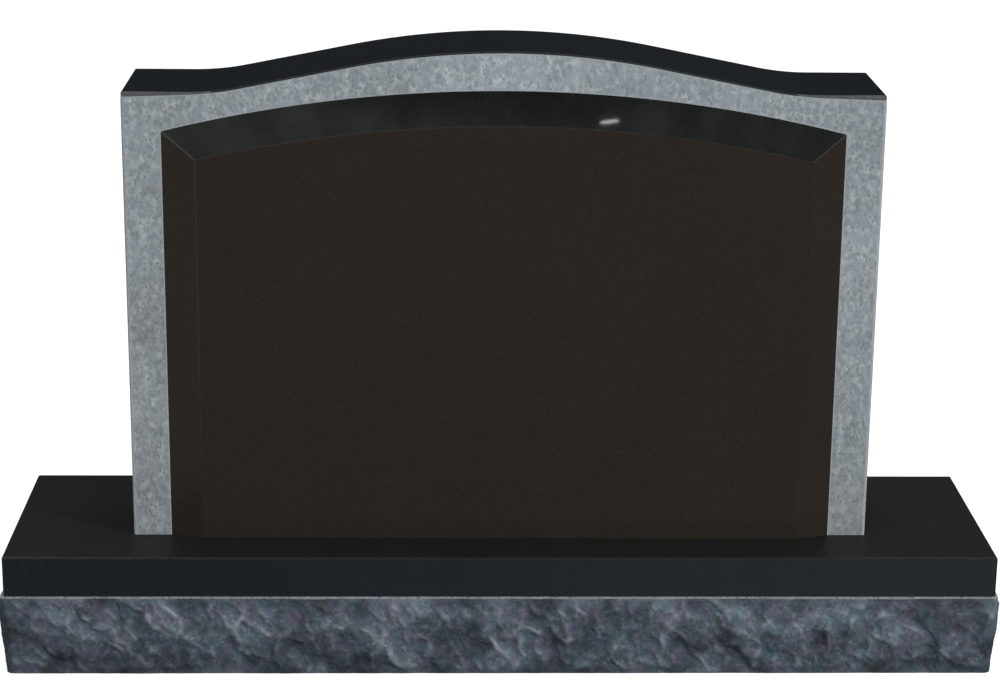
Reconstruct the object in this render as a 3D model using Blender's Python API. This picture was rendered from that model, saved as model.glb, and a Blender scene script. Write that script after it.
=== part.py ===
"""Serpentine granite monument: an upright tablet on a rock-pitched base.

Metres, +Z up. The origin is the middle of the base's underside, and the front,
with the raised panel, looks along -Y. Two stones make the monument: the base,
with a polished top and margin over rock-pitched sides, and the tablet, with a
frosted border round a raised, bevelled panel.
"""

import math
from typing import NamedTuple

import bmesh
import bpy
from mathutils import Vector, noise

INCH = 0.0254

# Base
BASE_WIDTH = 48 * INCH
BASE_DEPTH = 12 * INCH
BASE_HEIGHT = 6 * INCH
MARGIN_HEIGHT = 2 * INCH

# Rock-pitched sides: how far they stand out of the margin's face, and their upright corners
LEDGE_PROJECTION = 0.0035
SWELL_PROJECTION = 0.0045
FOOT_PROJECTION = 0.0005
LEDGE_DROP = 0.0015
CORNER_RADIUS = 0.016

# Shares of the rock face's height: its fullest level, where the corners reach their
# radius, and the calmer bands along its top and foot with what is left of the relief there
SWELL_LEVEL = 0.65
CORNER_EASE = 0.35
CALM_BAND = 0.15
CALM_SHARE = 0.3

# Flakes left by the pitching tool, which run down to the right and stand out at their lower left
FLAKE_ANGLE = math.radians(45)
FLAKE_DEPTH = 0.0085
FLAKE_WIDTH = 0.068
FLAKE_LENGTH = 0.078
CHIP_DEPTH = 0.0055
CHIP_WIDTH = 0.030
CHIP_LENGTH = 0.032
RELIEF_LIMIT = 0.009

# Shape of a flake, in units of its own width: tilts, mean depth of its hollow, ridge sharpness
RANDOM_TILT = 1.3
OVERHANG_TILT = 0.55
MEAN_HOLLOW = 0.25
RIDGE_SHARPNESS = 9.0
CELL_MIDDLE = Vector((0.5, 0.5, 0.5))

# Tablet
TABLET_WIDTH = 36 * INCH
SHOULDER_HEIGHT = 22 * INCH
CROWN_RISE = 2 * INCH
SHOULDER_FLAT = 3 * INCH
CROWN_ARC = 14.8 * INCH
HOLLOW_ARC = 2.5 * INCH
SLAB_THICKNESS = 6.25 * INCH
SEAT_GAP = 0.0003

# Raised panel on the tablet's front
BORDER_WIDTH = 1.85 * INCH
BEVEL_WIDTH = 1.6 * INCH
PANEL_RELIEF = 0.5 * INCH

# Broken edges and the size of the facets
ARRIS = 0.002
ROCK_FACET = 0.010
CURVE_FACET = 0.018
SHARP_ANGLE = math.radians(10)
WELD_DISTANCE = 1e-6

# Finishes: colour, roughness
POLISHED = ((0.018, 0.018, 0.019, 1.0), 0.08)
FROSTED = ((0.245, 0.270, 0.290, 1.0), 0.75)
ROCKED = ((0.075, 0.090, 0.110, 1.0), 0.85)


def clear_scene():
    """Removes every object that the scene starts with."""
    for thing in list(bpy.data.objects):
        bpy.data.objects.remove(thing, do_unlink=True)


def stone_material(name, finish):
    """A Principled material for one finish of the granite."""
    colour, roughness = finish
    material = bpy.data.materials.new(name)
    material.use_nodes = True
    shader = material.node_tree.nodes["Principled BSDF"]
    shader.inputs["Base Color"].default_value = colour
    shader.inputs["Roughness"].default_value = roughness
    shader.inputs["Metallic"].default_value = 0.0
    return material


def finished_object(name, mesh_builder, materials):
    """Turns a filled bmesh into an object with outward faces and its materials."""
    bmesh.ops.remove_doubles(mesh_builder, verts=mesh_builder.verts, dist=WELD_DISTANCE)
    bmesh.ops.recalc_face_normals(mesh_builder, faces=mesh_builder.faces)
    mesh = bpy.data.meshes.new(name)
    mesh_builder.to_mesh(mesh)
    mesh_builder.free()
    for material in materials:
        mesh.materials.append(material)
    thing = bpy.data.objects.new(name, mesh)
    bpy.context.scene.collection.objects.link(thing)
    return thing


def bridge(mesh_builder, first, second, slot):
    """Fills the strip between two rows of as many points each."""
    for index in range(len(first) - 1):
        corners = (first[index], first[index + 1], second[index + 1], second[index])
        mesh_builder.faces.new(corners).material_index = slot


def smooth_step(share):
    """Eases from 0 to 1 with level ends."""
    share = min(max(share, 0.0), 1.0)
    return share * share * (3 - 2 * share)


def flake_relief(run, level, width, length):
    """Stone left at a spot of the rock face: hollow flakes with a tilt each, blended at their ridges."""
    girth = 2 * (BASE_WIDTH + BASE_DEPTH)
    turn = math.tau * (run + level / math.tan(FLAKE_ANGLE)) / girth
    radius = girth / math.tau / width
    climb = level / math.sin(FLAKE_ANGLE) / length
    spot = Vector((radius * math.cos(turn), radius * math.sin(turn), climb))
    overhang = OVERHANG_TILT * Vector((-math.sin(turn), math.cos(turn), 0.0))
    distances, centres = noise.voronoi(spot)
    relief = 0.0
    weights = 0.0
    for distance, centre in zip(distances, centres):
        tilt = RANDOM_TILT * (noise.cell_vector(centre) - CELL_MIDDLE) - overhang
        weight = math.exp(RIDGE_SHARPNESS * (distances[0] - distance))
        relief += weight * (distance**2 - MEAN_HOLLOW + tilt.dot(spot - centre))
        weights += weight
    return relief / weights


def rock_projection(run, level):
    """Distance that the rock face stands out of the margin's face."""
    share = level / (BASE_HEIGHT - MARGIN_HEIGHT)
    if share > SWELL_LEVEL:
        end = LEDGE_PROJECTION
        nearness = smooth_step((share - SWELL_LEVEL) / (1 - SWELL_LEVEL))
    else:
        end = FOOT_PROJECTION
        nearness = smooth_step(1 - share / SWELL_LEVEL)
    swell = SWELL_PROJECTION + (end - SWELL_PROJECTION) * nearness
    rough = FLAKE_DEPTH * flake_relief(run, level, FLAKE_WIDTH, FLAKE_LENGTH)
    rough += CHIP_DEPTH * flake_relief(run, level, CHIP_WIDTH, CHIP_LENGTH)
    rough = RELIEF_LIMIT * math.tanh(rough / RELIEF_LIMIT)
    calm = smooth_step(min(share, 1 - share) / CALM_BAND)
    return swell + rough * (CALM_SHARE + (1 - CALM_SHARE) * calm)


def rock_corner_radius(level):
    """Radius of the rock's upright corners: crisp under the margin, rounder below."""
    share = level / (BASE_HEIGHT - MARGIN_HEIGHT)
    return ARRIS + (CORNER_RADIUS - ARRIS) * smooth_step((1 - share) / CORNER_EASE)


def base_sides():
    """The base's four sides, counter-clockwise from the front: start, direction, outward, length."""
    half_width = BASE_WIDTH / 2
    half_depth = BASE_DEPTH / 2
    return (
        (Vector((-half_width, -half_depth)), Vector((1, 0)), Vector((0, -1)), BASE_WIDTH),
        (Vector((half_width, -half_depth)), Vector((0, 1)), Vector((1, 0)), BASE_DEPTH),
        (Vector((half_width, half_depth)), Vector((-1, 0)), Vector((0, 1)), BASE_WIDTH),
        (Vector((-half_width, half_depth)), Vector((0, -1)), Vector((-1, 0)), BASE_DEPTH),
    )


class Station(NamedTuple):
    """A place on the block's rim: its side, shares along it and round its far corner, length run."""

    side: int
    along: float
    round: float
    run: float


def rim_stations():
    """Stations all the way round the block, a facet apart, from the front's left end."""
    stations = []
    start_run = 0.0
    arc_steps = max(2, math.ceil(CORNER_RADIUS * math.pi / 2 / ROCK_FACET))
    for index, (_, _, _, length) in enumerate(base_sides()):
        straight = length - 2 * CORNER_RADIUS
        steps = math.ceil(straight / ROCK_FACET)
        for step in range(steps + 1):
            share = step / steps
            run = start_run + CORNER_RADIUS + straight * share
            stations.append(Station(index, share, 0.0, run))
        for step in range(1, arc_steps):
            share = step / arc_steps
            run = start_run + length + CORNER_RADIUS * (2 * share - 1)
            stations.append(Station(index, 1.0, share, run))
        start_run += length
    return stations


def ring(mesh_builder, stations, level, radius, projection):
    """A ring of points at one level, its corners rounded to radius, moved out by projection."""
    points = []
    for station in stations:
        start, direction, outward, length = base_sides()[station.side]
        angle = station.round * math.pi / 2
        way_out = outward * math.cos(angle) + direction * math.sin(angle)
        pivot = start + direction * (radius + (length - 2 * radius) * station.along) - outward * radius
        place = pivot + way_out * (radius + projection(station.run, level))
        points.append(mesh_builder.verts.new((*place, level)))
    return points


def rock_course(mesh_builder, above, below):
    """Fills one course of the rock face, its facets split down to the right as the flakes run."""
    for index in range(len(above)):
        following = (index + 1) % len(above)
        upper = (above[index], below[following], above[following])
        lower = (above[index], below[index], below[following])
        for corners in (upper, lower):
            mesh_builder.faces.new(corners).material_index = 1


def build_base(polished, rocked):
    """The base block: polished top, arris and margin, rock face, sawn underside."""
    shape = bmesh.new()
    stations = rim_stations()
    corner_stations = [station for station in stations if station.along in (0.0, 1.0)]
    margin_foot = BASE_HEIGHT - MARGIN_HEIGHT

    # A side's margin face meets every station under it, and the crown's corner points are one each
    foot = ring(shape, stations, margin_foot, ARRIS, lambda run, level: 0.0)
    brow = ring(shape, corner_stations, BASE_HEIGHT - ARRIS, ARRIS, lambda run, level: 0.0)
    crown = ring(shape, corner_stations, BASE_HEIGHT, ARRIS, lambda run, level: -ARRIS)
    for index, station in enumerate(corner_stations):
        following = (index + 1) % len(corner_stations)
        start = stations.index(station)
        end = stations.index(corner_stations[following]) or len(stations)
        under = [foot[place % len(stations)] for place in range(start, end + 1)]
        shape.faces.new((*under, brow[following], brow[index]))
        shape.faces.new((brow[index], brow[following], crown[following], crown[index]))
    shape.faces.new(crown)

    face_height = margin_foot - LEDGE_DROP
    courses = math.ceil(face_height / ROCK_FACET)
    above = foot
    for course in range(courses + 1):
        level = face_height * (1 - course / courses)
        below = ring(shape, stations, level, rock_corner_radius(level), rock_projection)
        rock_course(shape, above, below)
        above = below
    shape.faces.new(above).material_index = 1

    return finished_object("base", shape, (polished, rocked))


def top_stations():
    """Places along the tablet's top from the left shoulder's corner to the right one's."""
    corner = TABLET_WIDTH / 2 - ARRIS
    run = TABLET_WIDTH / 2 - SHOULDER_FLAT
    crown, hollow = crown_blends(run)
    marks = (0.0, crown, run - hollow, run, corner)
    right = [0.0]
    for start, end in zip(marks, marks[1:]):
        steps = max(1, math.ceil((end - start) / CURVE_FACET))
        right += [start + (end - start) * step / steps for step in range(1, steps + 1)]
    return [-place for place in reversed(right[1:])] + right


def crown_blends(run):
    """Half the crown's arc and the hollow's arc, limited by the room between the shoulders."""
    crown = CROWN_ARC / 2
    hollow = HOLLOW_ARC
    room = min(1.0, run / (crown + hollow))
    return crown * room, hollow * room


def serpentine_height(place):
    """Height of the tablet's top edge: a crown, a straight fall and a hollow to the shoulder."""
    run = TABLET_WIDTH / 2 - SHOULDER_FLAT
    crown, hollow = crown_blends(run)
    slope = CROWN_RISE / (run - crown / 2 - hollow / 2)
    away = abs(place)
    if away < crown:
        return SHOULDER_HEIGHT + CROWN_RISE - slope * away**2 / (2 * crown)
    if away < run - hollow:
        return SHOULDER_HEIGHT + CROWN_RISE - slope * (away - crown / 2)
    if away < run:
        return SHOULDER_HEIGHT + slope * (run - away) ** 2 / (2 * hollow)
    return SHOULDER_HEIGHT


def slab_outline(stations, inset):
    """The slab's outline from the left foot over the top to the right foot, moved in by inset."""
    side = TABLET_WIDTH / 2 - inset
    shoulder = SHOULDER_HEIGHT - max(inset, ARRIS)
    top = [(place, serpentine_height(place) - inset) for place in stations]
    return [(-side, 0.0), (-side, shoulder), *top, (side, shoulder), (side, 0.0)]


def panel_outline(stations, inset):
    """The panel's outline under its round arch, on the slab's stations, moved in by inset."""
    half_width = TABLET_WIDTH / 2 - BORDER_WIDTH
    radius = (half_width**2 + CROWN_RISE**2) / (2 * CROWN_RISE)
    centre = SHOULDER_HEIGHT + CROWN_RISE - BORDER_WIDTH - radius
    side = half_width - inset
    arch = radius - inset
    places = [place / stations[-1] * side for place in stations]
    top = [(place, centre + math.sqrt(arch**2 - place**2)) for place in places]
    return [(-side, 0.0), top[0], *top, top[-1], (side, 0.0)]


def build_tablet(polished, frosted):
    """The tablet: a serpentine slab with broken edges and a raised panel on its front."""
    shape = bmesh.new()
    stations = top_stations()
    seat = BASE_HEIGHT + SEAT_GAP
    border = PANEL_RELIEF - (SLAB_THICKNESS + PANEL_RELIEF) / 2
    back = border + SLAB_THICKNESS

    def chain(outline, depth):
        return [shape.verts.new((across, depth, seat + height)) for across, height in outline]

    chains = (
        chain(slab_outline(stations, ARRIS), back),
        chain(slab_outline(stations, 0.0), back - ARRIS),
        chain(slab_outline(stations, 0.0), border + ARRIS),
        chain(slab_outline(stations, ARRIS), border),
        chain(panel_outline(stations, 0.0), border),
        chain(panel_outline(stations, BEVEL_WIDTH), border - PANEL_RELIEF),
    )
    border_strip = 3
    for index, (first, second) in enumerate(zip(chains, chains[1:])):
        bridge(shape, first, second, int(index == border_strip))
    shape.faces.new(chains[0])
    shape.faces.new(chains[-1])
    left_feet = [row[0] for row in chains]
    right_feet = [row[-1] for row in reversed(chains)]
    shape.faces.new(left_feet + right_feet)

    tablet = finished_object("tablet", shape, (polished, frosted))
    tablet.data.shade_smooth()
    tablet.data.set_sharp_from_angle(angle=SHARP_ANGLE)
    return tablet


def main():
    """Builds the two stones."""
    clear_scene()
    polished = stone_material("polished granite", POLISHED)
    build_base(polished, stone_material("rock-pitched granite", ROCKED))
    build_tablet(polished, stone_material("frosted granite", FROSTED))


main()
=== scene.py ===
"""Looks of the serpentine granite monument: an upright tablet on a rock-pitched base.

Metres, +Z up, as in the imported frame. The origin is the middle of the base's underside
and the front, with the raised panel, looks along -Y. Each of the two stones is one closed
mesh whose faces carry the finish that the mason gave them there.
"""

import logging
import math
from collections.abc import Callable, Sequence
from dataclasses import dataclass, field
from enum import Enum
from typing import NamedTuple

import bmesh
import bpy
import numpy as np
from mathutils import Matrix, Vector, noise


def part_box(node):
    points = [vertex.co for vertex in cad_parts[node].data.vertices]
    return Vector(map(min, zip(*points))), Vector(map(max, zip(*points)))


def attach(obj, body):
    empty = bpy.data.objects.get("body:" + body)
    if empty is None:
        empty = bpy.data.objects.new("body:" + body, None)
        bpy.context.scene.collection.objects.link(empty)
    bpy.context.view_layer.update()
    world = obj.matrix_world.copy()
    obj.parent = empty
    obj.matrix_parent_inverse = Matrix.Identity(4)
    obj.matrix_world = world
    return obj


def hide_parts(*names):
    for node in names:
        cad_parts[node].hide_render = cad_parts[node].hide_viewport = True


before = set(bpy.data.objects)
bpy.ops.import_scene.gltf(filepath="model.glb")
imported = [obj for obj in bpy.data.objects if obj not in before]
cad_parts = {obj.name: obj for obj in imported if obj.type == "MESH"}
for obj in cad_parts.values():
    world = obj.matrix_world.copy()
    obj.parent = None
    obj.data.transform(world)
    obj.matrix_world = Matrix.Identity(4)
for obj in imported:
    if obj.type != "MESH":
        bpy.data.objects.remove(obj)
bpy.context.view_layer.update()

log = logging.getLogger("monument")

INCH = 0.0254
WELD_DISTANCE = 1e-6
LACUNARITY = 2.0
CELL_MIDDLE = Vector((0.5, 0.5, 0.5))
BRUISE_AND_HIGHLIGHT_LAYER = "bruise"
NOISE_SEED = 1
SMOOTH = {"interpolation_type": "SMOOTHSTEP"}

Colour = tuple[float, float, float]
Spot = tuple[float, float]
Place = tuple[float, float, float]
Node = bpy.types.Node
Socket = bpy.types.NodeSocket

WHITE: Colour = (1.0, 1.0, 1.0)


def smooth_step(share: float) -> float:
    """Eases a progress, which may lie outside 0 to 1, from 0 to 1 with level ends."""
    share = min(max(share, 0.0), 1.0)
    return share * share * (3 - 2 * share)


def between(first: float, last: float, share: float) -> float:
    """The value that lies that share of the way from the first to the last."""
    return first + (last - first) * share


def quarter_round(steps: int) -> list[Spot]:
    """Shares of a rounded arris's inset and drop, step by step from the inner edge out."""
    angles = [math.pi / 2 * step / steps for step in range(1, steps + 1)]
    return [(1 - math.sin(angle), 1 - math.cos(angle)) for angle in angles]


def show(name: str, data: bpy.types.ID) -> bpy.types.Object:
    """Adds an object to the scene.

    Args:
        name: The object's name.
        data: Its mesh, lamp or camera.

    Returns:
        The object.
    """
    thing = bpy.data.objects.new(name, data)
    bpy.context.scene.collection.objects.link(thing)
    return thing


class Surface(Enum):
    """Finishes that a face of a stone can have."""

    PANEL = "panel polish"
    PANEL_EDGE = "panel arris"
    # Painted highlight: the mitre arris is paler than the panel polish.
    MITRE = "mitre arris"
    SLAB = "slab polish"
    # Painted shade: the top bevel is a darker, cooler copy of the panel polish.
    BEVEL = "top bevel polish"
    MARGIN = "margin polish"
    TOP = "base top polish"
    # Painted highlight: the eased arris is lighter than the polish beside it.
    EDGE = "eased arris"
    # Partly painted highlight: the shoulder arris is far paler than the polish.
    SHOULDER = "honed shoulder"
    FROST = "frosted border"
    FROST_RIM = "frosted rim"
    ROCK = "rock-pitched face"
    LEDGE = "bruised ledge"
    SAWN = "sawn bed"


class Mixed(Enum):
    """What a Mix node mixes: Blender's word, and the numbers of its first input and its output."""

    NUMBERS = ("FLOAT", 2, 0)
    COLOURS = ("RGBA", 6, 2)


class Board:
    """A node tree under construction."""

    def __init__(self, tree: bpy.types.NodeTree) -> None:
        """Keeps the tree that the nodes go into."""
        self.tree = tree

    @classmethod
    def clean(cls, owner: bpy.types.Material | bpy.types.World) -> "Board":
        """Empties the nodes of a material or a world.

        Args:
            owner: The material or the world.

        Returns:
            The board for its nodes.
        """
        owner.use_nodes = True
        owner.node_tree.nodes.clear()
        return cls(owner.node_tree)

    def node(self, kind: str, settings: dict[str, object] | None = None, **inputs: object) -> Node:
        """Adds a node and fills its inputs.

        Args:
            kind: Blender's name of the node type.
            settings: Properties of the node itself.
            inputs: Values or output sockets by input name, with _ for a space.

        Returns:
            The new node.
        """
        added = self.tree.nodes.new(kind)
        for name, value in (settings or {}).items():
            setattr(added, name, value)
        for name, value in inputs.items():
            self.fill(added.inputs[name.replace("_", " ")], value)
        return added

    def fill(self, socket: Socket, value: object) -> None:
        """Links an output socket to the input, or sets its value.

        Args:
            socket: The input.
            value: An output socket, a number, a vector or a colour.
        """
        if isinstance(value, Socket):
            self.tree.links.new(value, socket)
        elif socket.type == "RGBA":
            socket.default_value = (*value, 1.0)
        else:
            socket.default_value = value

    def fill_from(self, added: Node, start: int, *values: object) -> Node:
        """Fills a node's inputs from the start number on and gives back the node.

        Args:
            added: The node, whose inputs share a name.
            start: Number of the first of these inputs.
            values: A value or an output socket for each.

        Returns:
            The node.
        """
        for number, value in enumerate(values, start):
            self.fill(added.inputs[number], value)
        return added

    def math(self, operation: str, first: object, second: object) -> Socket:
        """Combines two numbers by the operation that Blender calls so."""
        added = self.node("ShaderNodeMath", {"operation": operation})
        return self.fill_from(added, 0, first, second).outputs[0]

    def vector(self, operation: str, first: object, second: object) -> Socket:
        """Combines two vectors by the operation that Blender calls so."""
        added = self.node("ShaderNodeVectorMath", {"operation": operation})
        return self.fill_from(added, 0, first, second).outputs["Vector"]

    def shade(self, colour: Socket, value: object) -> Socket:
        """Multiplies a colour or vector by a number."""
        added = self.node("ShaderNodeVectorMath", {"operation": "SCALE"}, Vector=colour, Scale=value)
        return added.outputs["Vector"]

    def remap(
        self, value: Socket, low: float, high: float, to_low: object = 0.0, to_high: object = 1.0
    ) -> Socket:
        """Maps the range from low to high smoothly onto the one from to_low to to_high."""
        ranges = {"From_Min": low, "From_Max": high, "To_Min": to_low, "To_Max": to_high}
        return self.node("ShaderNodeMapRange", SMOOTH, Value=value, **ranges).outputs["Result"]

    def mix(self, mixed: Mixed, share: object, first: object, second: object) -> Socket:
        """Mixes two numbers or two colours.

        Args:
            mixed: What is mixed.
            share: Share of the second one.
            first: The first one or its socket.
            second: The second one or its socket.

        Returns:
            The mixture.
        """
        word, start, result = mixed.value
        added = self.fill_from(self.node("ShaderNodeMix", {"data_type": word}), 0, share)
        return self.fill_from(added, start, first, second).outputs[result]

    def blend(self, share: object, first: object, second: object) -> Socket:
        """Mixes two colours."""
        return self.mix(Mixed.COLOURS, share, first, second)

    def split(self, unseen: Socket, seen: Socket) -> Socket:
        """Keeps one shader for what the camera sees itself and the other for the rest."""
        inputs = (self.node("ShaderNodeLightPath").outputs["Is Camera Ray"], unseen, seen)
        return self.fill_from(self.node("ShaderNodeMixShader"), 0, *inputs).outputs["Shader"]

    def group(self, group: bpy.types.NodeTree, **inputs: object) -> Node:
        """Places a node group and fills its inputs as those of a node."""
        return self.node("ShaderNodeGroup", {"node_tree": group}, **inputs)


def new_group(name: str, inputs: Sequence[str], outputs: Sequence[str]) -> tuple[Board, Node, Node]:
    """Starts a shader node group that takes a vector and some numbers.

    Args:
        name: The group's name.
        inputs: Names of the number inputs.
        outputs: Names of the outputs, which are all numbers.

    Returns:
        The group's board, its input node and its output node.
    """
    tree = bpy.data.node_groups.new(name, "ShaderNodeTree")
    tree.interface.new_socket(name="Vector", in_out="INPUT", socket_type="NodeSocketVector")
    for way, labels in (("INPUT", inputs), ("OUTPUT", outputs)):
        for label in labels:
            tree.interface.new_socket(name=label, in_out=way, socket_type="NodeSocketFloat")
    board = Board(tree)
    return board, board.node("NodeGroupInput"), board.node("NodeGroupOutput")


@dataclass
class GraniteEffects:
    """The node groups that the granite finishes share, and the measures of their patterns."""

    crystals: bpy.types.NodeTree = field(init=False)
    drift: bpy.types.NodeTree = field(init=False)
    tooth: bpy.types.NodeTree = field(init=False)
    bend_detail: float = 2.0
    bend_reach: float = 1.3
    edge_start: float = -0.03
    edge_end: float = 0.05
    drift_detail: float = 4.0
    drift_roughness: float = 0.6
    drift_low: float = 0.25
    drift_high: float = 0.75
    grain_detail: float = 5.0
    grain_roughness: float = 0.7
    pit_radius: float = 0.5

    def __post_init__(self) -> None:
        """Builds each group once."""
        self.crystals = self.build_crystals()
        self.drift = self.build_drift()
        self.tooth = self.build_tooth()

    def build_crystals(self) -> bpy.types.NodeTree:
        """Interlocked crystals, each with a tone of its own.

        Returns:
            A group whose Tone, Pale and Dark run from 0 to 1.
        """
        shares = ("Per Metre", "Pale Share", "Dark Share")
        board, given, result = new_group("granite crystals", shares, ("Tone", "Pale", "Dark"))
        vector = given.outputs["Vector"]
        per_metre = given.outputs["Per Metre"]
        bend = board.node("ShaderNodeTexNoise", Vector=vector, Scale=per_metre, Detail=self.bend_detail)
        centred = board.vector("SUBTRACT", bend.outputs["Color"], CELL_MIDDLE)
        moved = board.shade(centred, board.math("DIVIDE", self.bend_reach, per_metre))
        bent = board.vector("ADD", vector, moved)
        cells = board.node("ShaderNodeTexVoronoi", Vector=bent, Scale=per_metre)
        tones = board.node("ShaderNodeSeparateColor", Color=cells.outputs["Color"])
        board.fill(result.inputs["Tone"], tones.outputs["Red"])
        for label, channel in (("Pale", "Green"), ("Dark", "Blue")):
            edge = board.math("SUBTRACT", 1.0, given.outputs[f"{label} Share"])
            excess = board.math("SUBTRACT", tones.outputs[channel], edge)
            board.fill(result.inputs[label], board.remap(excess, self.edge_start, self.edge_end))
        return board.tree

    def build_drift(self) -> bpy.types.NodeTree:
        """Slow changes of tone through the block.

        Returns:
            A group whose Drift runs about 0 to 1.
        """
        board, given, result = new_group("tone drift", ("Per Metre",), ("Drift",))
        spot = {"Vector": given.outputs["Vector"], "Scale": given.outputs["Per Metre"]}
        detail = {"Detail": self.drift_detail, "Roughness": self.drift_roughness}
        clouds = board.node("ShaderNodeTexNoise", **spot, **detail).outputs["Fac"]
        board.fill(result.inputs["Drift"], board.remap(clouds, self.drift_low, self.drift_high))
        return board.tree

    def build_tooth(self) -> bpy.types.NodeTree:
        """Height of a worked surface: pits of one size and finer grains.

        Returns:
            A group whose Height runs about 0 to 1.
        """
        board, given, result = new_group("tool tooth", ("Per Metre", "Pits"), ("Height",))
        spot = {"Vector": given.outputs["Vector"], "Scale": given.outputs["Per Metre"]}
        detail = {"Detail": self.grain_detail, "Roughness": self.grain_roughness}
        grains = board.node("ShaderNodeTexNoise", **spot, **detail)
        pits = board.node("ShaderNodeTexVoronoi", **spot)
        deep = board.remap(pits.outputs["Distance"], 0.0, self.pit_radius)
        pitted = board.math("MULTIPLY", given.outputs["Pits"], deep)
        board.fill(result.inputs["Height"], board.math("ADD", grains.outputs["Fac"], pitted))
        return board.tree


@dataclass(frozen=True)
class GraniteFinish:
    """One finish of the granite, with its crystals, gloss and tooth.

    Sizes are in metres and colours linear. A swing is the whole range about the middle.
    Each tint comes with the size of its patches. The bruise is the colour of the ridges' crests,
    partly real bruising and partly a painted highlight, which fades with the drift, down to the
    floor. The stretch is how much longer than wide crystals and patches stand. Below a start height
    the colour is painted darker, down to a low share at the bottom: painted shade, darker towards
    the bottom as the light falls.
    """

    body: Colour
    pale: Colour
    dark: Colour
    crystal: float = 0.0014
    pale_share: float = 0.10
    dark_share: float = 0.15
    tone_swing: float = 0.3
    drift_swing: float = 0.2
    patch: float = 0.15
    roughness: float = 0.1
    roughness_swing: float = 0.05
    gloss: float = 0.5
    tooth: float = 0.0
    tooth_size: float = 0.002
    pits: float = 0.0
    bruise: Colour | None = None
    fade_start: float = 0.30
    fade_end: float = 0.75
    fade_floor: float = 0.25
    tints: tuple[tuple[Colour, float], ...] = ()
    stretch: float = 1.0
    painted_shade_low: float = 1.0
    painted_shade_start: float = 0.0
    painted_shade_end: float = 0.055

    def material(self, name: str, effects: GraniteEffects) -> bpy.types.Material:
        """Makes the material.

        Args:
            name: The material's name.
            effects: The shared node groups.

        Returns:
            The finished material.
        """
        material = bpy.data.materials.new(name)
        board = Board.clean(material)
        spot = board.node("ShaderNodeTexCoord").outputs["Object"]
        squeeze = (1.0, 1.0, 1 / self.stretch)
        place = board.node("ShaderNodeMapping", Vector=spot, Scale=squeeze).outputs["Vector"]
        shares = {"Pale_Share": self.pale_share, "Dark_Share": self.dark_share}
        crystals = board.group(effects.crystals, Vector=place, Per_Metre=1 / self.crystal, **shares).outputs
        drift = board.group(effects.drift, Vector=place, Per_Metre=1 / self.patch).outputs["Drift"]
        colour = self.body
        for tint, size in self.tints:
            hues = board.group(effects.drift, Vector=place, Per_Metre=1 / size)
            colour = board.blend(hues.outputs["Drift"], colour, tint)
        for label, shown in (("Pale", self.pale), ("Dark", self.dark)):
            colour = board.blend(crystals[label], colour, shown)
        for value, swing in ((crystals["Tone"], self.tone_swing), (drift, self.drift_swing)):
            colour = board.shade(colour, self.swing(board, value, 1.0, swing))
        # Painted shade: the colour is darkened below a height, towards the bottom, for how the light falls.
        if self.painted_shade_low < 1:
            height = board.node("ShaderNodeSeparateXYZ", Vector=spot).outputs["Z"]
            painted_shade_factor = board.remap(height, self.painted_shade_start, self.painted_shade_end, self.painted_shade_low)
            colour = board.shade(colour, painted_shade_factor)
        # Crests painted paler: partly real bruising of the struck stone, partly a painted highlight.
        if self.bruise is not None:
            struck_and_highlight = board.node("ShaderNodeAttribute", {"attribute_name": BRUISE_AND_HIGHLIGHT_LAYER}).outputs["Fac"]
            fade = board.remap(drift, self.fade_start, self.fade_end, self.fade_floor)
            colour = board.blend(board.math("MULTIPLY", struck_and_highlight, fade), colour, self.bruise)
        shader = board.node("ShaderNodeBsdfPrincipled", Base_Color=colour, Specular_IOR_Level=self.gloss)
        matt = self.swing(board, crystals["Tone"], self.roughness, self.roughness_swing)
        board.fill(shader.inputs["Roughness"], matt)
        if self.tooth > 0:
            worked = board.group(effects.tooth, Vector=place, Per_Metre=1 / self.tooth_size, Pits=self.pits)
            bump = board.node("ShaderNodeBump", Height=worked.outputs["Height"], Distance=self.tooth)
            board.fill(shader.inputs["Normal"], bump.outputs["Normal"])
        board.node("ShaderNodeOutputMaterial", Surface=shader.outputs["BSDF"])
        return material

    @staticmethod
    def swing(board: Board, value: Socket, middle: float, swing: float) -> Socket:
        """Spreads a value between 0 and 1 over the whole of a swing about its middle."""
        return board.math("ADD", board.math("MULTIPLY", value, swing), middle - swing / 2)


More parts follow.
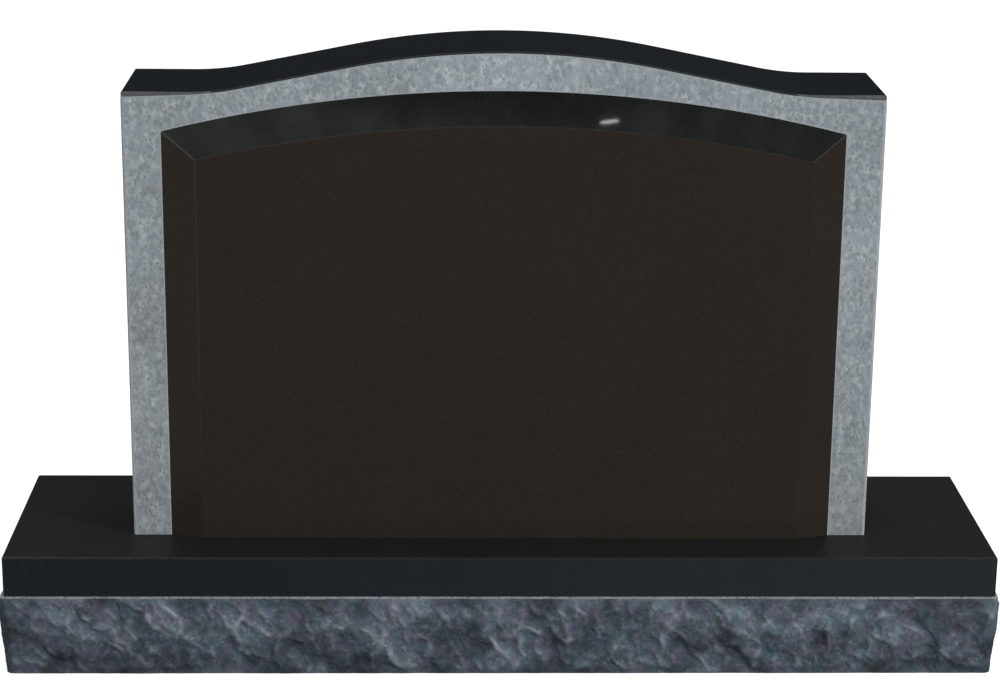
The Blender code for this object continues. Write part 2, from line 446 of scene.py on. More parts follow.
FINISHES = {
    Surface.PANEL: GraniteFinish(
        body=(0.0362, 0.0289, 0.0234), pale=(0.0438, 0.0360, 0.0298), dark=(0.0302, 0.0236, 0.0190),
        tone_swing=0.12, drift_swing=0.08, roughness=0.04, roughness_swing=0.015, gloss=0.13,
    ),
    Surface.PANEL_EDGE: GraniteFinish(
        body=(0.032, 0.027, 0.024), pale=(0.040, 0.034, 0.030), dark=(0.026, 0.022, 0.019),
        roughness=0.15, gloss=0.35,
    ),
    # Mitre arris: paler and rougher than the panel polish, a painted highlight on top of the light that the
    # chamfer catches.
    Surface.MITRE: GraniteFinish(
        body=(0.048, 0.046, 0.045), pale=(0.062, 0.060, 0.058), dark=(0.036, 0.034, 0.033),
        roughness=0.30,
    ),
    Surface.SLAB: GraniteFinish(
        body=(0.0032, 0.0092, 0.0142), pale=(0.0070, 0.0140, 0.0194), dark=(0.0018, 0.0062, 0.0098),
        gloss=0.30,
    ),
    # Top bevel: a darker, cooler copy of the panel polish on the upward-facing bevel, painted shade for the
    # dark room that it reflects.
    Surface.BEVEL: GraniteFinish(
        body=(0.0098, 0.0118, 0.0114), pale=(0.0150, 0.0175, 0.0170), dark=(0.0065, 0.0080, 0.0078),
        drift_swing=0.5, patch=0.04, roughness=0.022, roughness_swing=0.008,
    ),
    Surface.MARGIN: GraniteFinish(
        body=(0.0150, 0.0192, 0.0230), pale=(0.0190, 0.0235, 0.0280), dark=(0.0100, 0.0130, 0.0160),
    ),
    Surface.TOP: GraniteFinish(
        body=(0.0200, 0.0204, 0.0204), pale=(0.0240, 0.0245, 0.0245), dark=(0.0168, 0.0171, 0.0171),
        roughness=0.45, gloss=0.10,
    ),
    # Eased arris: lighter and rougher than the polish beside it, a painted highlight along the arrises.
    Surface.EDGE: GraniteFinish(
        body=(0.022, 0.024, 0.026), pale=(0.036, 0.038, 0.040), dark=(0.014, 0.015, 0.016),
        crystal=0.0018, roughness=0.25,
    ),
    # Shoulder arris: far paler than the polish, partly a honed finish and partly a painted highlight on the
    # widened chamfer.
    Surface.SHOULDER: GraniteFinish(
        body=(0.100, 0.108, 0.115), pale=(0.130, 0.138, 0.145), dark=(0.075, 0.082, 0.088),
        crystal=0.0020, roughness=0.45, tooth=0.00008,
    ),
    Surface.FROST: GraniteFinish(
        body=(0.670, 0.725, 0.752), pale=(0.500, 0.548, 0.572), dark=(0.330, 0.368, 0.390),
        crystal=0.0028, dark_share=0.16, tone_swing=0.06, drift_swing=0.26, patch=0.11, roughness=0.72,
        roughness_swing=0.1, gloss=0.35, tooth=0.0003, tooth_size=0.0026, pits=0.4,
        tints=(((0.210, 0.242, 0.274), 0.0080), ((0.412, 0.456, 0.490), 0.016)), stretch=1.35,
        # Painted light: the border is painted darker below its upper part, for the light that falls from
        # above.
        painted_shade_low=0.89, painted_shade_start=0.62, painted_shade_end=0.74,
    ),
    Surface.FROST_RIM: GraniteFinish(
        body=(0.455, 0.500, 0.525), pale=(0.530, 0.570, 0.595), dark=(0.380, 0.420, 0.445),
        crystal=0.0024, tone_swing=0.10, roughness=0.65, gloss=0.35, tooth=0.0002, tooth_size=0.0018,
    ),
    Surface.ROCK: GraniteFinish(
        body=(0.106, 0.122, 0.128), pale=(0.150, 0.180, 0.212), dark=(0.092, 0.100, 0.112),
        crystal=0.0030, pale_share=0.12, tone_swing=0.12, drift_swing=1.25, patch=0.045, roughness=0.80,
        roughness_swing=0.15, gloss=0.3, tooth=0.0002, tooth_size=0.0024, pits=0.3,
        # Bruise: paler crests, partly real bruising and partly a painted highlight.
        bruise=(0.440, 0.480, 0.535),
        # Painted shade: the rock face is painted darker towards the ground, for the shade at the foot of the
        # base. The tints are the stone's own colour.
        tints=(((0.150, 0.110, 0.212), 0.015), ((0.080, 0.138, 0.160), 0.019)), painted_shade_low=0.76,
    ),
    Surface.LEDGE: GraniteFinish(
        body=(0.290, 0.315, 0.340), pale=(0.400, 0.425, 0.450), dark=(0.170, 0.188, 0.205),
        crystal=0.0026, roughness=0.75, gloss=0.3, tooth=0.0005, tooth_size=0.0024,
    ),
    Surface.SAWN: GraniteFinish(
        body=(0.105, 0.112, 0.120), pale=(0.160, 0.168, 0.175), dark=(0.060, 0.064, 0.070),
        crystal=0.0022, roughness=0.62, gloss=0.4, tooth=0.0002, tooth_size=0.003,
    ),
}


NO_OTHERS: dict[int, Surface] = {}


@dataclass
class MeshDraft:
    """Points and faces of one stone, gathered with the finish of each face."""

    name: str
    points: list[Place] = field(default_factory=list)
    struck_and_highlight: list[float] = field(default_factory=list)
    faces: list[tuple[int, ...]] = field(default_factory=list)
    finishes: list[Surface] = field(default_factory=list)

    def row(self, places: Sequence[Place], struck_and_highlight: Sequence[float] = ()) -> list[int]:
        """Adds a row of points.

        Args:
            places: Their places.
            struck_and_highlight: How bruised the stone is at each, with a painted highlight on its crests,
                or nothing where it isn't.

        Returns:
            Their numbers in the draft.
        """
        start = len(self.points)
        self.points.extend(places)
        self.struck_and_highlight.extend(struck_and_highlight or [0.0] * len(places))
        return list(range(start, len(self.points)))

    def face(self, corners: Sequence[int], finish: Surface) -> None:
        """Adds one face with its finish."""
        self.faces.append(tuple(corners))
        self.finishes.append(finish)

    def strip(
        self, first: list[int], second: list[int], finish: Callable[[int], Surface], closed: bool
    ) -> None:
        """Fills the strip between two rows of as many points each.

        Args:
            first: Numbers of one row.
            second: Numbers of the other row.
            finish: The finish of each quad by its place in the row.
            closed: Whether the strip runs on from the last point to the first.
        """
        count = len(first)
        for index in range(count if closed else count - 1):
            following = (index + 1) % count
            corners = (first[index], second[index], second[following], first[following])
            self.face(corners, finish(index))

    def build(self, flat: set[Surface], effects: GraniteEffects) -> bpy.types.Object:
        """Makes the closed mesh object with its materials.

        Args:
            flat: Finishes whose facets keep their own shading.
            effects: The node groups for the materials.

        Returns:
            The object, linked to the scene.
        """
        used = [finish for finish in Surface if finish in set(self.finishes)]
        mesh = bpy.data.meshes.new(self.name)
        mesh.from_pydata(self.points, [], self.faces)
        mesh.polygons.foreach_set("material_index", [used.index(finish) for finish in self.finishes])
        mesh.polygons.foreach_set("use_smooth", [finish not in flat for finish in self.finishes])
        for finish in used:
            material = FINISHES[finish].material(f"{self.name} {finish.value}", effects)
            mesh.materials.append(material)
        mesh.attributes.new(BRUISE_AND_HIGHLIGHT_LAYER, "FLOAT", "POINT").data.foreach_set("value", self.struck_and_highlight)
        self.weld(mesh)
        return show(self.name, mesh)

    @staticmethod
    def weld(mesh: bpy.types.Mesh) -> None:
        """Joins points that meet, turns faces outwards and breaks shading between finishes.

        Args:
            mesh: The mesh to finish.
        """
        shape = bmesh.new()
        shape.from_mesh(mesh)
        bmesh.ops.remove_doubles(shape, verts=shape.verts, dist=WELD_DISTANCE)
        bmesh.ops.recalc_face_normals(shape, faces=shape.faces)
        for edge in shape.edges:
            first, second = edge.link_faces
            edge.smooth = first.material_index == second.material_index
        shape.to_mesh(mesh)
        shape.free()


@dataclass(frozen=True)
class ReliefLayer:
    """Relief of one size whose features run down to the right at the slant's angle."""

    depth: float
    width: float
    length: float
    slant: float

    def spot(self, run: float, level: float, girth: float) -> Vector:
        """The place on the rim wound onto a cylinder, in features across and along the slant.

        Args:
            run: Length round the block.
            level: Height above the ground.
            girth: Length all the way round.

        Returns:
            The spot, which meets itself where the run is once round.
        """
        turn = math.tau * (run + level / math.tan(self.slant)) / girth
        radius = girth / math.tau / self.width
        climb = level / math.sin(self.slant) / self.length
        return Vector((radius * math.cos(turn), radius * math.sin(turn), climb))


@dataclass(frozen=True)
class StreakLayer(ReliefLayer):
    """Torn crystals: streaks at several scales, each finer and lower than the last."""

    falloff: float = 0.8
    octaves: int = 4

    def relief(self, run: float, level: float, girth: float) -> float:
        """Height of the streaks at a place of the face."""
        spot = self.spot(run, level, girth)
        return self.depth * noise.fractal(spot, self.falloff, LACUNARITY, self.octaves)


@dataclass(frozen=True)
class FlakeLayer(ReliefLayer):
    """Flakes of one size, as the pitching tool leaves them.

    The overhang is how far they stand out at their lower left, and the tilt how much
    each leans its own way, both as shares of their width.
    """

    overhang: float = 0.0
    random_tilt: float = 1.5

    mean_hollow = 0.25
    ridge_sharpness = 11.0

    def relief(self, run: float, level: float, girth: float) -> float:
        """Stone left at a place: hollow flakes with a tilt each, blended at their ridges.

        Args:
            run: Length round the block.
            level: Height above the ground.
            girth: Length all the way round.

        Returns:
            How far the stone stands out.
        """
        spot = self.spot(run, level, girth)
        outward = spot.to_2d().normalized()
        lean = self.overhang * Vector((-outward.y, outward.x, 0.0))
        distances, centres = noise.voronoi(spot)
        relief = 0.0
        weights = 0.0
        for distance, centre in zip(distances, centres):
            tilt = self.random_tilt * (noise.cell_vector(centre) - CELL_MIDDLE) - lean
            weight = math.exp(self.ridge_sharpness * (distances[0] - distance))
            relief += weight * (distance**2 - self.mean_hollow + tilt.dot(spot - centre))
            weights += weight
        return self.depth * relief / weights


@dataclass(frozen=True)
class RockFace:
    """The broken face below the margin: a low swell with flakes, chips and torn crystals."""

    height: float
    girth: float
    corners: tuple[float, ...]
    ledge: float = 0.0035
    swell: float = 0.0045
    foot: float = 0.0005
    swell_level: float = 0.65
    calm_band: float = 0.15
    ledge_share: float = 0.30
    foot_share: float = 0.12
    relief_limit: float = 0.009
    bend: ReliefLayer = ReliefLayer(0.007, 0.020, 0.020, math.pi / 2)
    ridge_reach: int = 3
    ridge_height: float = 0.0024
    rim_bruise: float = 0.14
    rim_reach: float = 0.010
    corner_reach: float = 0.022
    corner_share: float = 0.35
    flakes: FlakeLayer = FlakeLayer(0.0088, 0.054, 0.066, math.radians(66), 0.25, 1.6)
    chips: FlakeLayer = FlakeLayer(0.0030, 0.023, 0.027, math.radians(80), 0.1, 2.0)
    streaks: StreakLayer = StreakLayer(0.0011, 0.0105, 0.016, math.radians(75), 0.9)
    grain: StreakLayer = StreakLayer(0.0005, 0.0075, 0.0075, math.pi / 2, octaves=2)

    def projection(self, run: float, level: float) -> tuple[float, float]:
        """How far the face stands out of the margin's face.

        Args:
            run: Length round the block.
            level: Height above the ground.

        Returns:
            The distance, and the part of it that the flakes and streaks make.
        """
        share = level / self.height
        if share > self.swell_level:
            end = self.ledge
            nearness = smooth_step((share - self.swell_level) / (1 - self.swell_level))
        else:
            end = self.foot
            nearness = smooth_step(1 - share / self.swell_level)
        swell = between(self.swell, end, nearness)
        shift = self.bend.depth * noise.noise_vector(self.bend.spot(run, level, self.girth))
        place = (run + shift.x, level + shift.y, self.girth)
        rough = self.flakes.relief(*place) + self.chips.relief(*place)
        rough = self.relief_limit * math.tanh(rough / self.relief_limit) + self.streaks.relief(*place)
        calm = smooth_step(min(share, 1 - share) / self.calm_band)
        end_share = self.ledge_share if share > self.swell_level else self.foot_share
        kept = between(end_share, 1, calm)
        away = min(abs(run - corner) for corner in self.corners) / self.corner_reach
        kept *= between(self.corner_share, 1, smooth_step(away))
        return swell + (rough + self.grain.relief(*place)) * kept, rough * kept

    def survey(self, stations: list["Station"], levels: Sequence[float]) -> tuple[np.ndarray, np.ndarray]:
        """Measures the whole face.

        Args:
            stations: The stations of the rim.
            levels: The levels from the ledge down.

        Returns:
            How far the face stands out and how bruised it is, crests with a painted highlight, by level and
            station.
        """
        measured = np.array([[self.projection(place.run, level) for place in stations] for level in levels])
        out, rough = measured[..., 0], measured[..., 1]
        reach = self.ridge_reach
        around = [np.roll(rough, shift, axis=1) for shift in (-reach, reach)]
        padded = np.pad(rough, ((reach, reach), (0, 0)), mode="edge")
        around += [padded[: -2 * reach], padded[2 * reach :]]
        # Crests standing above their surroundings get the paler colour: partly bruising, partly a painted
        # highlight.
        crest = rough - sum(around) / len(around)
        nearness = 1 - (levels[0] - np.array(levels)) / self.rim_reach
        rim = self.rim_bruise * np.clip(nearness, 0.0, 1.0)
        return out, np.maximum(np.clip(crest / self.ridge_height, 0.0, 1.0), rim[:, np.newaxis])


class Station(NamedTuple):
    """A place on the block's rim: its side, shares along it and round its far corner, length run."""

    side: int
    along: float
    round: float
    run: float


@dataclass
class Base:
    """The base block: polished top and margin over rock-pitched sides, sawn underneath."""

    height: float
    width: float = 48 * INCH
    depth: float = 12 * INCH
    margin: float = 2 * INCH
    ledge_drop: float = 0.0015
    corner_radius: float = 0.009
    corner_ease: float = 0.35
    arris: float = 0.002
    arris_steps: int = 4
    rock_step: float = 0.0021

    @classmethod
    def from_frame(cls) -> "Base":
        """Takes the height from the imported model."""
        low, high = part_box("base")
        return cls(height=high[2] - low[2])

    @property
    def sides(self) -> tuple[tuple[Vector, Vector, Vector, float], ...]:
        """The four sides from the front, counter-clockwise.

        Returns:
            The start, direction, way outward and length of each.
        """
        right = Vector((1, 0))
        back = Vector((0, 1))
        corner = Vector((self.width / 2, self.depth / 2))
        across = Vector((corner.x, -corner.y))
        return (
            (-corner, right, -back, self.width),
            (across, back, right, self.depth),
            (corner, -right, back, self.width),
            (-across, -back, -right, self.depth),
        )

    def stations(self) -> list[Station]:
        """Stations all the way round the block, from the front's left end.

        Returns:
            The stations, a rock step apart.
        """
        stations = []
        start_run = 0.0
        arc_steps = math.ceil(self.corner_radius * math.pi / 2 / self.rock_step)
        for side, (_, _, _, length) in enumerate(self.sides):
            straight = length - 2 * self.corner_radius
            steps = math.ceil(straight / self.rock_step)
            for step in range(steps + 1):
                share = step / steps
                stations.append(Station(side, share, 0.0, start_run + self.corner_radius + straight * share))
            for step in range(1, arc_steps):
                share = step / arc_steps
                run = start_run + length + self.corner_radius * (2 * share - 1)
                stations.append(Station(side, 1.0, share, run))
            start_run += length
        return stations

    def ring(
        self, stations: list[Station], level: float, radius: float, out: float | Sequence[float]
    ) -> list[Place]:
        """Places round the block at one level.

        Args:
            stations: The stations of the rim.
            level: Height of the ring.
            radius: Radius of its corners.
            out: How far the stations stand out of the margin's face, all alike or each its own.

        Returns:
            The places, one for each station.
        """
        places = []
        sides = self.sides
        for station, distance in zip(stations, np.broadcast_to(out, len(stations)).tolist()):
            start, direction, outward, length = sides[station.side]
            angle = station.round * math.pi / 2
            way_out = outward * math.cos(angle) + direction * math.sin(angle)
            pivot = start + direction * (radius + (length - 2 * radius) * station.along) - outward * radius
            place = pivot + way_out * (radius + distance)
            places.append((place.x, place.y, level))
        return places

    def rock_radius(self, level: float, foot: float) -> float:
        """Radius of the rock's upright corners: crisp under the margin, rounder below."""
        ease = smooth_step((1 - level / foot) / self.corner_ease)
        return between(self.arris, self.corner_radius, ease)

    def build(self, effects: GraniteEffects) -> bpy.types.Object:
        """Makes the stone.

        Args:
            effects: The node groups for its materials.

        Returns:
            The base as one closed mesh.
        """
        draft = MeshDraft("base_stone")
        stations = self.stations()
        foot = self.height - self.margin
        halfway = self.width + self.depth
        corners = (0.0, self.width, halfway, halfway + self.width, 2 * halfway)
        rock = RockFace(height=foot, girth=2 * halfway, corners=corners)

        def fill(first: list[int], second: list[int], finish: Surface) -> list[int]:
            """Fills the strip between two rings and gives back the second."""
            draft.strip(first, second, lambda _: finish, closed=True)
            return second

        crown = draft.row(self.ring(stations, self.height, self.arris, -self.arris))
        draft.face(crown, Surface.TOP)
        above = crown
        for inset, drop in quarter_round(self.arris_steps):
            level = self.height - self.arris * drop
            places = self.ring(stations, level, self.arris, -self.arris * inset)
            above = fill(above, draft.row(places), Surface.EDGE)
        above = fill(above, draft.row(self.ring(stations, foot, self.arris, 0.0)), Surface.MARGIN)

        face_height = foot - self.ledge_drop
        courses = math.ceil(face_height / self.rock_step)
        levels = [face_height * (1 - course / courses) for course in range(courses + 1)]
        out, struck_and_highlight = rock.survey(stations, levels)
        for course, level in enumerate(levels):
            places = self.ring(stations, level, self.rock_radius(level, foot), out[course])
            finish = Surface.LEDGE if course == 0 else Surface.ROCK
            above = fill(above, draft.row(places, list(struck_and_highlight[course])), finish)
        bed = draft.row(self.ring(stations, 0.0, self.corner_radius, -self.corner_radius))
        draft.face(fill(above, bed, Surface.SAWN), Surface.SAWN)
        return draft.build({Surface.ROCK}, effects)


@dataclass
class Tablet:
    """The upright slab: serpentine top, frosted border and a raised, bevelled panel."""

    width: float
    height: float
    depth: float
    seat: float
    crown_rise: float = 2 * INCH
    shoulder_flat: float = 3 * INCH
    crown_arc: float = 14.8 * INCH
    hollow_arc: float = 2.5 * INCH
    border_width: float = 1.85 * INCH
    bevel_width: float = 1.6 * INCH
    panel_relief: float = 0.5 * INCH
    arris: float = 0.002
    shoulder_arris: float = 0.0055
    shoulder_arris_run: float = 0.105
    corner_blend: float = 0.012
    panel_arris: float = 0.0009
    mitre_arris: float = 0.0011
    step: float = 0.0017
    corner_steps: int = 4
    rim: float = 0.0024
    frost_depth: float = 0.00022
    frost_width: float = 0.0042
    frost_falloff: float = 0.6
    frost_octaves: int = 3
    arris_profile: tuple[Spot, ...] = ((0.0, 1.0), (0.08, 0.78), (0.78, 0.08), (1.0, 0.0))

    @classmethod
    def from_frame(cls) -> "Tablet":
        """Takes the slab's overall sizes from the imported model."""
        low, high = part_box("tablet")
        return cls(width=high[0] - low[0], height=high[2] - low[2], depth=high[1] - low[1], seat=low[2])

    @property
    def half(self) -> float:
        """Half the slab's width."""
        return self.width / 2

    @property
    def shoulder(self) -> float:
        """Height of the shoulders above the seat."""
        return self.height - self.crown_rise

    @property
    def face(self) -> float:
        """Depth at which the panel's face lies."""
        return -self.depth / 2

    @property
    def border(self) -> float:
        """Depth at which the border lies."""
        return self.face + self.panel_relief

    @property
    def side_steps(self) -> int:
        """How many steps each side of an outline has."""
        return math.ceil(self.shoulder / self.step)

    def top_height(self, place: float) -> float:
        """Height of the top edge: a crown, a straight fall and a hollow to the shoulder.

        Args:
            place: Distance from the middle.

        Returns:
            The height above the seat.
        """
        run = self.half - self.shoulder_flat
        crown = self.crown_arc / 2
        hollow = self.hollow_arc
        slope = self.crown_rise / (run - crown / 2 - hollow / 2)
        away = abs(place)
        if away < crown:
            return self.height - slope * away**2 / (2 * crown)
        if away < run - hollow:
            return self.height - slope * (away - crown / 2)
        if away < run:
            return self.shoulder + slope * (run - away) ** 2 / (2 * hollow)
        return self.shoulder

    def edge_width(self, place: float) -> float:
        """Width of the front arris along the top, which grows over the shoulders to the corners.

        Args:
            place: Distance from the middle.

        Returns:
            The width.
        """
        start = self.half - self.shoulder_arris_run
        growth = min(max((abs(place) - start) / self.shoulder_arris_run, 0.0), 1.0)
        return between(self.arris, self.shoulder_arris, growth)

    def spread(self, reach: float) -> list[float]:
        """Places from -reach to reach, as many on every outline."""
        steps = math.ceil(2 * (self.half - self.arris) / self.step)
        return [reach * (2 * index / steps - 1) for index in range(steps + 1)]

    def chain(self, side: float, side_top: float, top: list[Spot], rounded: bool) -> list[Spot]:
        """An outline from the left foot over the top to the right foot.

        Args:
            side: Distance of the sides from the middle.
            side_top: Height at which the sides end.
            top: The outline's top, left to right.
            rounded: Whether the corners are round, and not cut straight.

        Returns:
            The outline's points.
        """
        steps = self.side_steps
        points = [(-side, side_top * index / steps) for index in range(steps + 1)]
        centre, peak = top[0]
        for index in range(1, self.corner_steps):
            share = index / self.corner_steps
            angle = math.pi / 2 * share
            across, up = (1 - math.cos(angle), math.sin(angle)) if rounded else (share, share)
            points.append((between(-side, centre, across), between(side_top, peak, up)))
        right = [(-across, up) for across, up in reversed(points)]
        return points + top + right

    def corner_range(self, count: int, reach: float = 0.0) -> list[int]:
        """Numbers of an outline's steps in its two corners, and some way along the top from them.

        Args:
            count: How many points the outline has.
            reach: How far along the top.

        Returns:
            The numbers of those steps.
        """
        end = self.side_steps + self.corner_steps + math.ceil(reach / self.step)
        left = range(self.side_steps, end)
        return [*left, *(count - 2 - index for index in left)]

    def bevel_finishes(self, count: int) -> dict[int, Surface]:
        """Finishes round the panel's bevel where they differ from its sides: the top and the mitres.

        Args:
            count: How many points the outline has.

        Returns:
            The finish by step.
        """
        first = self.side_steps + self.corner_steps
        finishes = dict.fromkeys(range(first, count - 1 - first), Surface.BEVEL)
        return finishes | dict.fromkeys(self.corner_range(count), Surface.MITRE)

    def slab_chain(self, inset: float, widen: bool) -> list[Spot]:
        """The slab's outline, moved in by a share of its arris.

        Args:
            inset: Share of the arris.
            widen: Whether the arris grows over the shoulders, as on the front.

        Returns:
            The outline's points.
        """
        places = self.spread(self.half - self.arris)
        widths = [self.edge_width(place) if widen else self.arris for place in places]
        top = [(place, self.top_height(place) - inset * width) for place, width in zip(places, widths)]
        side_top = min(self.shoulder - self.arris, top[0][1])
        return self.chain(self.half - inset * self.arris, side_top, top, rounded=True)

    def panel_chain(self, inset: float) -> list[Spot]:
        """The panel's outline under its round arch, moved in by inset, its mitres eased.

        Args:
            inset: How far the outline is moved in.

        Returns:
            The outline's points.
        """
        half_width = self.half - self.border_width
        radius = (half_width**2 + self.crown_rise**2) / (2 * self.crown_rise)
        centre = self.height - self.border_width - radius
        side = half_width - inset
        arch = radius - inset
        places = self.spread(side - self.mitre_arris)
        top = [(place, centre + math.sqrt(arch**2 - place**2)) for place in places]
        corner = centre + math.sqrt(arch**2 - side**2)
        return self.chain(side, corner - self.mitre_arris, top, rounded=False)

    def front_edge_depths(self, count: int) -> list[float]:
        """Depth of the front arris at each point of an outline.

        Args:
            count: How many points the outline has; it is not used.

        Returns:
            The depths, largest at the shoulders' corners.
        """
        left = []
        for index in range(self.side_steps + 1):
            below = (self.shoulder - self.arris) * (1 - index / self.side_steps)
            share = smooth_step(1 - below / self.corner_blend)
            left.append(between(self.arris, self.shoulder_arris, share))
        left += [self.shoulder_arris] * (self.corner_steps - 1)
        top = [self.edge_width(place) for place in self.spread(self.half - self.arris)]
        return left + top + left[::-1]

    def frost_relief(self, across: float, up: float, share: float) -> float:
        """How far a spot of the frosted border stands proud.

        Args:
            across: The spot's distance from the middle.
            up: Its height above the seat.
            share: Where it lies across the border, from 0 at the arris to 1 at the panel.

        Returns:
            The distance, in metres.
        """
        spot = Vector((across, 0.0, up)) / self.frost_width
        calm = smooth_step(min(share, 1 - share) * self.border_width / self.rim / 2)
        rough = noise.fractal(spot, self.frost_falloff, LACUNARITY, self.frost_octaves)
        return self.frost_depth * calm * rough

    def build(self, effects: GraniteEffects) -> bpy.types.Object:
        """Makes the stone.

        Args:
            effects: The node groups for its materials.

        Returns:
            The tablet as one closed mesh.
        """
        draft = MeshDraft("tablet_stone")
        rows: list[list[int]] = []

        def add(
            outline: list[Spot],
            depths: Sequence[float],
            finish: Surface,
            others: dict[int, Surface] = NO_OTHERS,
        ) -> None:
            """Adds an outline at its depths and fills the strip to the one before.

            Args:
                outline: The outline's points.
                depths: The depth of each.
                finish: The finish of the strip.
                others: The finish of steps that differ.
            """
            row = draft.row([(x, y, self.seat + z) for (x, z), y in zip(outline, depths)])
            if rows:
                draft.strip(rows[-1], row, lambda index: others.get(index, finish), closed=False)
            rows.append(row)

        back = self.depth / 2
        outline = self.slab_chain(1.0, widen=False)
        count = len(outline)
        add(outline, [back] * count, Surface.EDGE)
        draft.face(rows[0], Surface.SLAB)
        for inset, drop in quarter_round(self.corner_steps):
            add(self.slab_chain(inset, widen=False), [back - self.arris * drop] * count, Surface.EDGE)

        sides = [*range(self.side_steps), *range(count - 1 - self.side_steps, count - 1)]
        eased = dict.fromkeys(sides, Surface.FROST_RIM)
        eased |= dict.fromkeys(self.corner_range(count, self.shoulder_arris_run), Surface.SHOULDER)
        edge_depths = self.front_edge_depths(count)
        finishes = (Surface.SLAB, NO_OTHERS)
        for inset, standing in self.arris_profile:
            depths = [self.border + standing * depth for depth in edge_depths]
            add(self.slab_chain(inset, widen=True), depths, *finishes)
            finishes = (Surface.EDGE, eased)

        outer = self.slab_chain(1.0, widen=True)
        inner = self.panel_chain(0.0)
        steps = math.ceil(self.border_width / self.step)
        for index in range(1, steps + 1):
            share = index / steps
            pairs = zip(outer, inner)
            outline = [(between(x0, x1, share), between(z0, z1, share)) for (x0, z0), (x1, z1) in pairs]
            depths = [self.border - self.frost_relief(x, z, share) for x, z in outline]
            at_rim = min(share, 1 - share + 1 / steps) * self.border_width < self.rim
            add(outline, depths, Surface.FROST_RIM if at_rim else Surface.FROST)

        fall = self.panel_relief / self.bevel_width
        easing = self.panel_arris
        bevel_end = self.bevel_width - easing
        bevel_depths = [self.border - fall * bevel_end] * count
        add(self.panel_chain(bevel_end), bevel_depths, Surface.PANEL, self.bevel_finishes(count))
        for step in range(1, self.corner_steps + 1):
            share = step / self.corner_steps
            inset = self.bevel_width + easing * (2 * share - 1)
            depth = self.face + fall * easing * (1 - share) ** 2
            add(self.panel_chain(inset), [depth] * count, Surface.PANEL_EDGE)
        draft.face(rows[-1], Surface.PANEL)
        draft.face([row[0] for row in rows] + [row[-1] for row in reversed(rows)], Surface.SAWN)
        return draft.build(set(), effects)


@dataclass(frozen=True)
class Softbox:
    """A studio lamp that looks at a spot."""

    name: str
    place: Place
    target: Place
    size: Spot
    power: float
    shape: str = "RECTANGLE"
    mirrored: bool = True

    def build(self) -> None:
        """Adds the lamp to the scene."""
        data = bpy.data.lights.new(self.name, "AREA")
        data.shape = self.shape
        data.size, data.size_y = self.size
        data.energy = self.power
        lamp = show(self.name, data)
        lamp.visible_glossy = self.mirrored
        way = Vector(self.target) - Vector(self.place)
        lamp.location = self.place
        lamp.rotation_euler = way.to_track_quat("-Z", "Y").to_euler()


@dataclass(frozen=True)
class Eye:
    """The photograph's viewpoint, as fitted to the corners of the stones."""

    place: Place = (-0.08409, -3.07255, 1.28261)
    turn: float = -0.02697
    dip: float = 0.28791
    roll: float = 0.01035
    focal_pixels: float = 2554.23
    photo_width: float = 1000.0
    sensor: float = 36.0

    def build(self) -> None:
        """Adds the camera and makes it the scene's."""
        data = bpy.data.cameras.new("photo camera")
        data.sensor_width = self.sensor
        data.lens = self.focal_pixels / self.photo_width * self.sensor
        camera = show("photo camera", data)
        camera.matrix_world = Matrix.Translation(self.place)
        for angle, axis in ((self.turn, "Z"), (math.pi / 2 - self.dip, "X"), (self.roll, "Z")):
            camera.matrix_world @= Matrix.Rotation(angle, 4, axis)
        bpy.context.scene.camera = camera


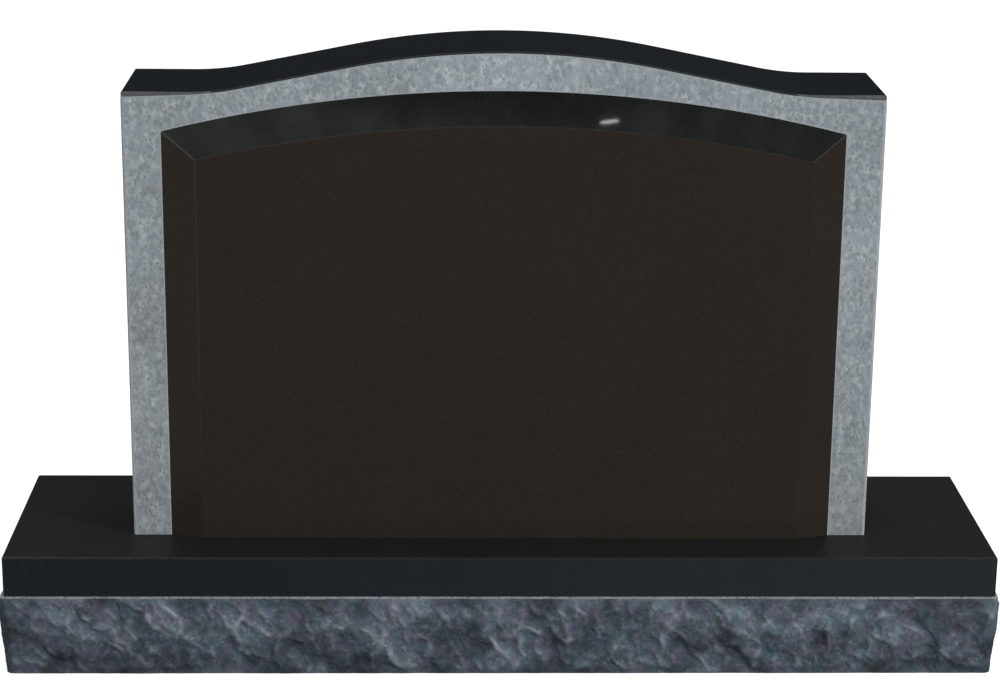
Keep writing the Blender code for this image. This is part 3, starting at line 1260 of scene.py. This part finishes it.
@dataclass(frozen=True)
class Studio:
    """Pale floor, soft lamps and the light that the room gives."""

    floor_size: float = 60.0
    floor_colour: Colour = (0.86, 0.86, 0.86)
    floor_lift: float = 0.66
    floor_glow: Colour = (0.120, 0.128, 0.140)
    mirror_left: Colour = (0.083, 0.100, 0.117)
    mirror_right: Colour = (0.250, 0.270, 0.300)
    mirror_half: float = 0.65
    mirror_far: Colour = (0.130, 0.115, 0.100)
    mirror_far_left: Colour = (0.520, 0.500, 0.410)
    mirror_far_right: Colour = (0.010, 0.010, 0.010)
    mirror_wing_start: float = 0.72
    mirror_wing_end: float = 0.86
    mirror_near_end: float = -0.55
    mirror_far_start: float = -0.85
    room_dim: float = 0.03
    room_bright: float = 0.55
    room_low: float = 0.28
    room_high: float = 1.0
    front_glow: float = 0.26
    rear_glow: float = 0.80
    rear_start: float = 0.2
    band_low: float = 0.389
    band_high: float = 0.406
    band_mist: float = 0.22
    band_glow: float = 0.50
    band_dim: float = 0.07
    band_patches: float = 24.0
    band_detail: float = 3.0
    mist_low: float = 0.3
    mist_high: float = 0.7
    band_fade: float = 0.55
    fade_start: float = -0.2
    fade_end: float = 0.3
    lamps: tuple[Softbox, ...] = (
        Softbox("key softbox", (4.0, -3.0, 2.3), (0.0, 0.0, 0.3), (1.2, 1.2), 148.0, mirrored=False),
        Softbox("fill softbox", (-2.4, -2.2, 1.6), (0.0, 0.0, 0.3), (1.4, 1.2), 16.0),
        Softbox("window", (0.578, -3.729, 2.248), (0.125, -0.077, 0.678), (0.088, 0.009), 0.021, "ELLIPSE"),
    )

    def build(self) -> None:
        """Sets up the floor, the lamps, the room light and the viewpoint."""
        self.build_floor()
        self.build_room()
        for lamp in self.lamps:
            lamp.build()
        Eye().build()
        bpy.context.scene.view_settings.view_transform = "Standard"

    def build_floor(self) -> None:
        """Lays the floor, which is pale to the camera and dim in the polished stone."""
        half = self.floor_size / 2
        mesh = bpy.data.meshes.new("studio floor")
        corners = [(-half, -half, 0), (half, -half, 0), (half, half, 0), (-half, half, 0)]
        mesh.from_pydata(corners, [], [(0, 1, 2, 3)])
        floor = show("studio_floor", mesh)
        material = bpy.data.materials.new("studio floor")
        board = Board.clean(material)
        matt = board.node("ShaderNodeBsdfDiffuse", Color=self.floor_colour)
        lift = board.node("ShaderNodeEmission", Strength=self.floor_lift)
        bright = board.node("ShaderNodeAddShader")
        board.fill_from(bright, 0, matt.outputs["BSDF"], lift.outputs["Emission"])
        spot = board.node("ShaderNodeTexCoord").outputs["Object"]
        parts = board.node("ShaderNodeSeparateXYZ", Vector=spot).outputs
        rightward = board.remap(parts["X"], -self.mirror_half, self.mirror_half)
        near = board.blend(rightward, self.mirror_left, self.mirror_right)
        nearness = board.remap(parts["Y"], self.mirror_far_start, self.mirror_near_end)
        mirrored = board.blend(nearness, self.mirror_far, near)
        for sign, wing in ((-1, self.mirror_far_left), (1, self.mirror_far_right)):
            away = board.math("MULTIPLY", parts["X"], sign)
            aside = board.remap(away, self.mirror_wing_start, self.mirror_wing_end)
            mirrored = board.blend(aside, mirrored, wing)
        glossy = board.node("ShaderNodeLightPath").outputs["Is Glossy Ray"]
        glow = board.node("ShaderNodeEmission", Color=board.blend(glossy, self.floor_glow, mirrored))
        either = board.split(glow.outputs["Emission"], bright.outputs["Shader"])
        board.node("ShaderNodeOutputMaterial", Surface=either)
        mesh.materials.append(material)

    def build_room(self) -> None:
        """Lights the room: white to the camera, otherwise dark behind and bright overhead."""
        world = bpy.data.worlds.new("studio room")
        bpy.context.scene.world = world
        board = Board.clean(world)
        way = board.node("ShaderNodeTexCoord").outputs["Generated"]
        parts = board.node("ShaderNodeSeparateXYZ", Vector=way).outputs
        high = board.remap(parts["Z"], self.room_low, self.room_high, self.room_dim, self.room_bright)
        front = board.remap(parts["Y"], -1.0, self.rear_start, self.front_glow, 0.0)
        rear = board.remap(parts["Y"], self.rear_start, 1.0, 0.0, self.rear_glow)
        lit = board.math("ADD", high, board.math("ADD", front, rear))
        pattern = {"Scale": self.band_patches, "Detail": self.band_detail}
        clouds = board.node("ShaderNodeTexNoise", Vector=way, **pattern).outputs["Fac"]
        mist = board.remap(clouds, self.mist_low, self.mist_high, self.band_mist, self.band_glow)
        fade = board.remap(parts["X"], self.fade_start, self.fade_end, 1.0, self.band_fade)
        glow = board.math("MULTIPLY", mist, fade)
        band = board.remap(parts["Z"], self.band_low, self.band_high, glow, self.band_dim)
        ahead = board.math("LESS_THAN", parts["Y"], 0.0)
        mirrored = board.mix(Mixed.NUMBERS, ahead, high, band)
        glossy = board.node("ShaderNodeLightPath").outputs["Is Glossy Ray"]
        strength = board.mix(Mixed.NUMBERS, glossy, lit, mirrored)
        room = board.node("ShaderNodeBackground", Color=WHITE, Strength=strength)
        white = board.node("ShaderNodeBackground", Color=WHITE, Strength=1.0)
        either = board.split(room.outputs["Background"], white.outputs["Background"])
        board.node("ShaderNodeOutputWorld", Surface=either)


def place_stone(stone: bpy.types.Object, node: str) -> None:
    """Hands a finished stone to the frame.

    Args:
        stone: The stone.
        node: The CAD node that it stands for.
    """
    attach(stone, "root")
    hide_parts(node)
    log.info("%s stands for %s with %d faces", stone.name, node, len(stone.data.polygons))


def main() -> None:
    """Builds the stones and the studio."""
    logging.basicConfig(level=logging.INFO, format="%(name)s: %(message)s")
    noise.seed_set(NOISE_SEED)
    effects = GraniteEffects()
    place_stone(Base.from_frame().build(effects), "base")
    place_stone(Tablet.from_frame().build(effects), "tablet")
    Studio().build()
    log.info("studio is lit")


if __name__ == "__main__":
    main()
